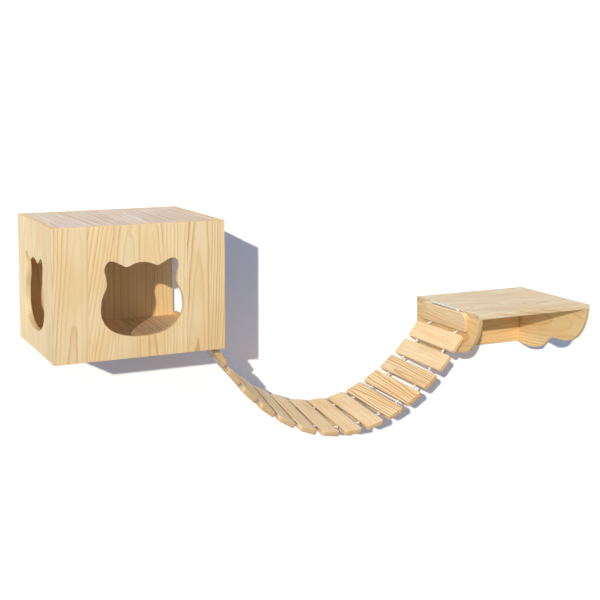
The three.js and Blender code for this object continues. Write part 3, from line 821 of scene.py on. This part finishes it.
def addSlat(name, number, axes, body, wood, lowCorner, highCorner, tools):
    middle, turn = axes
    loop = roundedRectangle(
        -slat["length"] / 2, -slat["width"] / 2, slat["length"] / 2, slat["width"] / 2,
        lowCorner, highCorner)
    points, faces = flatBoard([loop], slat["thick"], slat["ease"])
    local = np.stack([points[:, 1], -points[:, 0], points[:, 2] - slat["thick"] / 2], 1)
    mesh = newMesh(name, local @ turn.T + middle, faces)
    reach = slat["width"]
    bores = [
        turnedShape(
            [(-reach, slat["bore"]), (reach, slat["bore"])],
            middle + turn[:, 1] * side * slat["ropes"] / 2, turn[:, 0])
        for side in (-1, 1)
    ]
    mesh = cutAway(mesh, [*bores, *tools])
    local = (meshPoints(mesh) - middle) @ turn
    first, step = slat["seeds"]
    setAttribute(mesh, "grain", local[:, upright] * [1, 1, -1])
    setAttribute(mesh, "board", np.full(len(local), first + step * number))
    setAttribute(mesh, "pith", np.tile(slat["pith"][number], (len(local), 1)))
    setAttribute(mesh, "habit", np.tile(slat["habit"][number], (len(local), 1)))
    addPiece(name + "_wood", mesh, wood, body, [name])


def makeBridge(frames):
    wood = makePine("pine slats", slatPine)
    small, large = slat["corner"], slat["anchorCorner"]
    sinks = [countersink(f"anchor_screw_house_{place}") for place in ("front", "rear")]
    addSlat("anchor_slat_house", 0, frames[0], "wall_set", wood, large, small, sinks)
    addSlat("anchor_slat_shelf", slat["count"] + 1, frames[-1], "wall_set", wood, small, large, ())
    for index in range(1, slat["count"] + 1):
        name = f"slat_{index:02d}"
        addSlat(name, index, frames[index], name, wood, small, small, ())


makeHouse()
print("house boards made")
makeShelf()
print("shelf boards made")
bridge = bridgeFrames()
makeBridge(bridge)
print("slats made:", len(bridge))


rope = {
    "diameter": 0.007, "lay": 0.021, "strand": 0.00162, "valley": 0.0026, "handle": 0.4,
    "straightSteps": 26, "bendSteps": 9, "turnSteps": 10, "crossSteps": 60, "sides": 30,
    "seat": 0.0003, "button": 0.0115, "buttonHeight": 0.005, "buttonRows": 14, "buttonSides": 40,
    # a melted end's mean share of its radius and its lumps, how blunt it is, its lean, and its poles
    "swell": (0.955, 0.03, 0.015), "blunt": 0.45, "droop": 0.06, "pole": 0.0002,
}


# Through each slat the route runs straight; in a gap it is a cubic whose handles are a share of the
# way across and point along the two slats. Gives the points, and the row at each slat's middle.
def ropeRow(frames, side):
    rows, middles = [], []
    for index, (middle, turn) in enumerate(frames):
        along = turn[:, 0]
        middle = middle + turn[:, 1] * side * slat["ropes"] / 2
        first = index == 0
        stub = rope["seat"] + rope["buttonHeight"] / 2
        entry = middle - along * (slat["width"] / 2 + (stub if first else 0))
        leave = middle + along * slat["width"] / 2
        if not first:
            handle = rope["handle"] * np.linalg.norm(entry - lastLeave)
            t = np.linspace(0, 1, rope["bendSteps"] + 1)[1:, None]
            a, b = lastLeave, lastLeave + lastAlong * handle
            c, d = entry - along * handle, entry
            rows.append((1 - t)**3 * a + 3 * t * (1 - t)**2 * b + 3 * t**2 * (1 - t) * c + t**3 * d)
        share = np.linspace(0, 1, rope["straightSteps"] + 1)[0 if first else 1:, None]
        straight = entry + (leave - entry) * share
        done = sum(len(row) for row in rows)
        middles.append(done + int(np.argmin(np.linalg.norm(straight - middle, axis=1))))
        rows.append(straight)
        lastLeave, lastAlong = leave, along
    return np.concatenate(rows), middles


# Over the anchor slat's edge: a quarter circle out of one bore, a straight that lies on the edge, and
# a quarter circle into the other.
def ropeCrossing(middle, turn):
    rise = rope["seat"] + rope["diameter"] / 2
    half = slat["ropes"] / 2
    angle = np.linspace(0, np.pi / 2, rope["turnSteps"] + 1)[1:]
    bow = np.stack([rise * (1 - np.cos(angle)) - half, rise * np.sin(angle)], 1)
    across = np.linspace(rise - half, half - rise, rope["crossSteps"] + 1)[1:-1]
    flat = np.stack([across, np.full(len(across), rise)], 1)
    line = np.concatenate([bow, flat, bow[::-1] * [-1, 1]])
    along, above = line[:, 0], line[:, 1] + slat["width"] / 2
    return middle + np.outer(along, turn[:, 1]) + np.outer(above, turn[:, 0])


# Out through the front bores, over the shelf's anchor slat, and back through the rear bores. Gives
# the points, where the crossing begins and ends, and the rows at the slats' middles both ways.
def ropeRoute(frames):
    there, front = ropeRow(frames, -1)
    back, rear = ropeRow(frames, 1)
    crossing = ropeCrossing(*frames[-1])
    route = np.concatenate([there, crossing, back[::-1]])
    rear = [len(route) - 1 - index for index in rear[::-1]]
    return route, slice(len(there), len(there) + len(crossing)), front, rear


# Three strands lie against each other and turn round the rope's line. The radius in a direction is
# the outermost point of the three circles, and no less than the valley that fibres fill. The first
# axis is square to Y on the way out, along -X over the crossing, and square to -Y on the way back.
def ropeSurface(route, crossing):
    step = np.linalg.norm(np.diff(route, axis=0), axis=1)
    length = np.concatenate([[0], np.cumsum(step)])
    tangent = np.gradient(route, axis=0)
    tangent /= np.linalg.norm(tangent, axis=1, keepdims=True)
    flat = np.cross(tangent, [0, 1, 0])
    flat[crossing] = [-1, 0, 0]
    flat[crossing.stop:] *= -1
    flat /= np.linalg.norm(flat, axis=1, keepdims=True)
    other = np.cross(tangent, flat)
    angle = np.linspace(0, 2 * np.pi, rope["sides"], endpoint=False)[None, :]
    layAngle = 2 * np.pi * length[:, None] / rope["lay"]
    fromStrand = (angle - layAngle + np.pi / 3) % (2 * np.pi / 3) - np.pi / 3
    strand = rope["strand"]
    reach = rope["diameter"] / 2 - strand
    inside = np.maximum(strand**2 - (reach * np.sin(fromStrand))**2, 0)
    radius = np.maximum(reach * np.cos(fromStrand) + np.sqrt(inside), rope["valley"])
    ring = np.cos(angle)[..., None] * flat[:, None] + np.sin(angle)[..., None] * other[:, None]
    points = route[:, None] + radius[..., None] * ring
    turn = (angle - layAngle)[..., None]
    yarn = np.concatenate([
        np.broadcast_to(length[:, None, None], turn.shape), np.cos(turn), np.sin(turn)], 2)
    crest = (radius - rope["valley"]) / (rope["diameter"] / 2 - rope["valley"])
    return points, yarn, crest


def ropePiece(name, surface, low, high):
    points, yarn, crest = (part[low:high + 1] for part in surface)
    mesh = newMesh(name, points.reshape(-1, 3), closedRings(*points.shape[:2]))
    setAttribute(mesh, "yarn", yarn.reshape(-1, 3))
    setAttribute(mesh, "crest", crest.ravel())
    return mesh


# A lump of melted strands: a flat round drop whose radius swells and sinks round the rope.
def ropeButton(start, axis, seed):
    rows, sides = rope["buttonRows"], rope["buttonSides"]
    high = np.linspace(0, np.pi, rows)[:, None]
    angle = np.linspace(0, 2 * np.pi, sides, endpoint=False)[None, :]
    mean, wide, fine = rope["swell"]
    swell = mean + wide * np.sin(3 * angle + seed) + fine * np.sin(7 * angle + 2 * high + 3 * seed)
    radius = rope["button"] / 2 * np.abs(np.sin(high)) ** rope["blunt"] * swell
    radius[[0, -1]] = rope["pole"]
    droop = rope["droop"] * np.sin(2 * angle + seed) * np.sin(high)
    along = rope["buttonHeight"] / 2 * (1 - np.cos(high) * (1 - np.abs(droop)))
    axis = np.array(axis, float)
    flat = np.cross(axis, [0, 1, 0])
    other = np.cross(axis, flat)
    ring = np.cos(angle)[..., None] * flat + np.sin(angle)[..., None] * other
    points = start + along[..., None] * axis + radius[..., None] * ring
    mesh = newMesh("rope_button", points.reshape(-1, 3), closedRings(rows, sides))
    setAttribute(mesh, "yarn", points.reshape(-1, 3) - start)
    return mesh


cottonLook = {
    "name": "white cotton rope", "constants": {"Specular IOR Level": 0.2},
    # repeats per metre along the rope and for a step round it, and the noise's detail and roughness
    "yarn": (130, 5.5, 2.0, 0.5), "fuzz": (900, 9, 3.0, 0.7),
    # the painted shade in the strands' valleys, the crests' colour, and how far up a crest the painted
    # shade reaches
    "valley": "#cfc5b4", "crest": "#f4f1ea", "pale": 0.8, "yarnTone": 0.16, "fuzzTone": 0.1,
    "roughness": (0.92, 0.1), "fuzzHeight": 0.6, "bump": (0.6, 0.0005),
}
meltedLook = {
    "name": "melted rope end", "constants": {"Specular IOR Level": 0.45}, "repeats": 420,
    "noise": (3.0, 0.6), "mottle": (-0.15, 0.2), "colors": ("#eee6d6", "#d8c6a6"),
    "roughness": (0.42, 0.3), "bump": (0.5, 0.0006),
}


# Painted shade: the valleys between the strands are painted darker than their crests.
def makeRopeWhite():
    look = cottonLook
    cotton = Finish(look["name"], look["constants"])
    length, cosine, sine = cotton.split(cotton.vector("yarn"))

    def pattern(kind):
        lengthwise, around, detail, roughness = look[kind]
        place = cotton.point(length * lengthwise, cosine * around, sine * around)
        return cotton.noise(place, detail, roughness)

    yarn, fuzz = pattern("yarn"), pattern("fuzz")
    unshadedShare = cotton.number("crest").rise(0.0, look["pale"])
    color = cotton.mixColor(unshadedShare, fromHex(look["valley"]), fromHex(look["crest"]))
    color = cotton.scaled(color, 1.0 + yarn * look["yarnTone"] + fuzz * look["fuzzTone"])
    middle, share = look["roughness"]
    height = yarn + fuzz * look["fuzzHeight"]
    return cotton.finish(color, fuzz * share + middle, height, *look["bump"])


# Each length runs from the middle of one slat to the middle of the next and is attached to neither
# slat, except over the open gap, where each half stays with its own slat.
def ropeLengths(middles, bodies):
    lengths = []
    for gap, (low, high) in enumerate(zip(middles, middles[1:])):
        before, after = bodies[gap], bodies[gap + 1]
        if gap == slat["count"] // 2:
            half = (low + high) // 2
            lengths += [(low, half, before, before), (half, high, after, after)]
        else:
            lengths.append((low, high, before, after))
    return lengths


def makeRope(frames):
    white, melted = makeRopeWhite(), makeSpeckled(meltedLook, "yarn")
    route, crossing, front, rear = ropeRoute(frames)
    surface = ropeSurface(route, crossing)
    bodies = ["wall_set", *(f"slat_{i:02d}" for i in range(1, slat["count"] + 1)), "wall_set"]
    lengths = [
        (0, front[0], "wall_set", "wall_set"), *ropeLengths(front, bodies),
        (front[-1], rear[0], "wall_set", "wall_set"), *ropeLengths(rear, bodies[::-1]),
        (rear[-1], len(route) - 1, "wall_set", "wall_set"),
    ]
    for number, (low, high, before, after) in enumerate(lengths):
        part = f"rope_{number:02d}"
        mesh = ropePiece(part, surface, low, high)
        piece = addPiece(part, mesh, white, before if before == after else None, ["rope"])
        if before != after:
            start, end = (
                route[(low + high) // 2 + step * rope["bendSteps"] // 2] for step in (-1, 1))
            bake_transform(piece)
    middle, turn = frames[0]
    for place, side in (("front", -1), ("rear", 1)):
        start = middle + turn[:, 1] * side * slat["ropes"] / 2
        start = start - turn[:, 0] * (slat["width"] / 2 + rope["seat"])
        button = ropeButton(start, -turn[:, 0], side)
        addPiece(f"rope_end_{place}", button, melted, "wall_set", ["rope"])
    print("rope made of", len(lengths), "lengths and two melted ends")


makeRope(bridge)


# A countersunk head, a thread that winds down the shank, and a point. The thread's crest stands
# where the turn round the screw and the way down it agree.
def screwSurface(start, length, rows=160, sides=28):
    shank = screw["diameter"] / 2
    down = np.concatenate([
        [screw["sink"], screw["sink"] + screw["rim"], screw["headHeight"] + screw["sink"]],
        np.linspace(screw["headHeight"] + screw["neck"], length, rows),
    ])[:, None]
    angle = np.linspace(0, 2 * np.pi, sides, endpoint=False)[None, :]
    turns = (down / screw["pitch"] - angle / (2 * np.pi)) % 1
    crest = np.maximum(0, 1 - np.abs(turns - 0.5) * screw["sharpness"])
    cone = np.clip((length - down) / screw["tip"], screw["tipShare"], 1)
    radius = (shank - screw["thread"] + screw["thread"] * crest) * cone
    radius[:2] = screw["head"] / 2
    radius[2] = shank
    flat, other = np.array([0, 0, 1]), np.array([0, 1, 0])
    ring = np.cos(angle)[..., None] * flat + np.sin(angle)[..., None] * other
    points = start - down[..., None] * np.array([1, 0, 0]) + radius[..., None] * ring
    return points.reshape(-1, 3), closedRings(len(down), sides)


# A tapered bar that sinks into the head; two of them, crossed, make its recess.
def recessTool(start, long, wide):
    height = np.array([screw["overrun"]] * 4 + [-screw["recessDepth"]] * 4)
    reach = np.array([screw["recess"] / 2] * 4 + [screw["recess"] / 4] * 4)
    a = np.array([1, -1, -1, 1] * 2) * reach
    b = np.array([1, 1, -1, -1] * 2) * screw["recessWidth"] / 2
    points = start + np.outer(height, (1, 0, 0)) + np.outer(a, long) + np.outer(b, wide)
    faces = [[0, 1, 2, 3], [7, 6, 5, 4], [0, 4, 5, 1], [1, 5, 6, 2], [2, 6, 7, 3], [3, 7, 4, 0]]
    return points, faces


steelLook = {
    "name": "zinc steel", "constants": {"Metallic": 1.0}, "repeats": 900, "noise": (3.0, 0.6),
    "mottle": (-0.2, 0.2), "colors": ("#b4b6ba", "#d0d1d2"), "roughness": (0.34, 0.3),
    "bump": (0.2, 0.0002),
}


def makeScrews():
    steel = makeSpeckled(steelLook)
    for place in ("house_front", "house_rear", "shelf_front", "shelf_rear"):
        name = f"anchor_screw_{place}"
        start, length = screwHead(name)
        mesh = cutAway(newMesh(name, *screwSurface(start, length)), [
            recessTool(start, (0, 1, 0), (0, 0, 1)), recessTool(start, (0, 0, 1), (0, -1, 0))])
        addPiece(name + "_steel", mesh, steel, "wall_set", [name])


beechLook = {
    "name": "beech dowels", "constants": {"Specular IOR Level": 0.3}, "repeats": 300,
    "noise": (3.0, 0.6), "mottle": (-0.15, 0.15), "colors": ("#dcbd90", "#cba677"),
    "roughness": (0.7, 0.2), "bump": (0.3, 0.0003),
}

makeScrews()
beech = makeSpeckled(beechLook)
dowels = [node for name, node in frame["nodes"].items() if name.startswith("dowel")]
for node in dowels:
    node.data.materials.clear()
    node.data.materials.append(beech)
print("screws and", len(dowels), "dowels finished")


studio = {
    "sky": (0.135, 0.207, 0.367), "floor": -1.5, "plaster": (1.37, 1.32, 1.27),
    "floorPale": (0.86, 0.86, 0.86, 1), "floorShade": (0.19, 0.19, 0.20, 1),
    "floorRoughness": 0.8, "wallBehind": 0.0008, "span": (-8, 9), "reach": (-9, 6), "wallTop": 4,
    "key": {"towards": (0.68, 1, -0.355), "strength": 2.25, "angle": 0.9, "color": (1, 0.985, 0.95)},
    # from the left, from the front, from above and from below
    "soft": [
        {"towards": (1, 0.3, -0.05), "strength": 0.38, "angle": 60, "color": (1, 0.88, 0.6)},
        {"towards": (0.25, 1, -0.1), "strength": 0.42, "angle": 100, "color": (1, 0.93, 0.6)},
        {"towards": (0.1, 0.1, -1), "strength": 1.55, "angle": 60, "color": (1, 0.98, 0.9)},
        {"towards": (0.3, 0.45, 1), "strength": 0.9, "angle": 100, "color": (1, 0.7, 0.45)},
    ],
    # the bright wall beside the house and under the shelf: middle, size and strength
    "bounce": [((-0.39, 0.0005, 0.03), (0.36, 0.66), 0.3), ((1.1, 0.0005, -0.42), (0.5, 0.22), 0.35)],
}


# White behind the set, and a soft blue light from all sides.
def makeWorld():
    world = bpy.data.worlds.new("studio")
    world.use_nodes = True
    scene.world = world
    nodes = Nodes(world.node_tree)
    nodes.tree.nodes.clear()
    rays = nodes.add("ShaderNodeLightPath", {}, {})
    seen = nodes.sum("MAXIMUM", rays.outputs["Is Camera Ray"], rays.outputs["Is Glossy Ray"])
    seen = seen.math("MAXIMUM", rays.outputs["Is Transmission Ray"])
    soft = nodes.add("ShaderNodeBackground", {}, {"Color": (*studio["sky"], 1)})
    white = nodes.add("ShaderNodeBackground", {}, {"Color": (1, 1, 1, 1)})
    mix = nodes.add("ShaderNodeMixShader", {}, {0: seen, 1: soft.outputs[0], 2: white.outputs[0]})
    nodes.add("ShaderNodeOutputWorld", {}, {"Surface": mix.outputs[0]})


def addLamp(name, spec):
    lamp = bpy.data.objects.new(name, bpy.data.lights.new(name, "SUN"))
    lamp.data.energy = spec["strength"]
    lamp.data.angle = math.radians(spec["angle"])
    lamp.data.color = spec["color"]
    lamp.rotation_mode = "QUATERNION"
    lamp.rotation_quaternion = Vector(spec["towards"]).to_track_quat("-Z", "Y")
    scene.collection.objects.link(lamp)
    return lamp


# A flat lamp in the wall's plane that shines away from the wall.
def addBounce(place, size, strength):
    lamp = bpy.data.objects.new("bounce", bpy.data.lights.new("bounce", "AREA"))
    lamp.data.shape = "RECTANGLE"
    lamp.data.size, lamp.data.size_y = size
    lamp.data.energy = strength
    lamp.location = place
    lamp.rotation_euler = (-math.pi / 2, 0, 0)
    lamp.visible_camera = False
    scene.collection.objects.link(lamp)


# The soft lamps pass the wall by, so that its shadow stays deep.
def passBy(lamps, sheet):
    spared = bpy.data.collections.new("spared")
    spared.objects.link(sheet)
    spared.collection_objects[0].light_linking.link_state = "EXCLUDE"
    for lamp in lamps:
        lamp.light_linking.receiver_collection = spared


def addSheet(name, corners, material):
    mesh = bpy.data.meshes.new(name)
    mesh.from_pydata(corners, [], [[0, 1, 2, 3]])
    mesh.materials.append(material)
    sheet = bpy.data.objects.new(name, mesh)
    scene.collection.objects.link(sheet)
    return sheet


# Only the camera sees the wall, and only its front: it catches the shadow and lights nothing.
def makeWall():
    material = bpy.data.materials.new("white wall")
    material.use_nodes = True
    wall = Nodes(material.node_tree)
    wall.tree.nodes.clear()
    backwards = wall.add("ShaderNodeNewGeometry", {}, {}).outputs["Backfacing"]
    plaster = wall.add("ShaderNodeBsdfDiffuse", {}, {"Color": (*studio["plaster"], 1)})
    clear = wall.add("ShaderNodeBsdfTransparent", {}, {})
    mix = wall.add("ShaderNodeMixShader", {}, {0: backwards, 1: plaster.outputs[0], 2: clear.outputs[0]})
    wall.add("ShaderNodeOutputMaterial", {}, {"Surface": mix.outputs[0]})
    (left, right), y = studio["span"], studio["wallBehind"]
    low, high = studio["floor"], studio["wallTop"]
    corners = [(left, y, low), (right, y, low), (right, y, high), (left, y, high)]
    sheet = addSheet("wall", corners, material)
    for flag in ("visible_diffuse", "visible_glossy", "visible_transmission", "visible_shadow"):
        setattr(sheet, flag, False)
    return sheet


# The floor looks pale, but throws as little light up as a dark one.
def makeFloor():
    material = bpy.data.materials.new("pale floor")
    material.use_nodes = True
    floor = Nodes(material.node_tree)
    shader = floor.tree.nodes["Principled BSDF"]
    shader.inputs["Roughness"].default_value = studio["floorRoughness"]
    rays = floor.add("ShaderNodeLightPath", {}, {})
    seen = floor.sum("MAXIMUM", rays.outputs["Is Camera Ray"], rays.outputs["Is Glossy Ray"])
    color = floor.mixColor(seen, studio["floorShade"], studio["floorPale"])
    floor.feed(shader.inputs["Base Color"], color)
    (left, right), (near, far), z = studio["span"], studio["reach"], studio["floor"]
    addSheet("floor", [(left, near, z), (right, near, z), (right, far, z), (left, far, z)], material)


makeWorld()
addLamp("key", studio["key"])
softLamps = [addLamp(f"soft_{number}", spec) for number, spec in enumerate(studio["soft"])]
for spec in studio["bounce"]:
    addBounce(*spec)
passBy(softLamps, makeWall())
makeFloor()
print("studio lit")
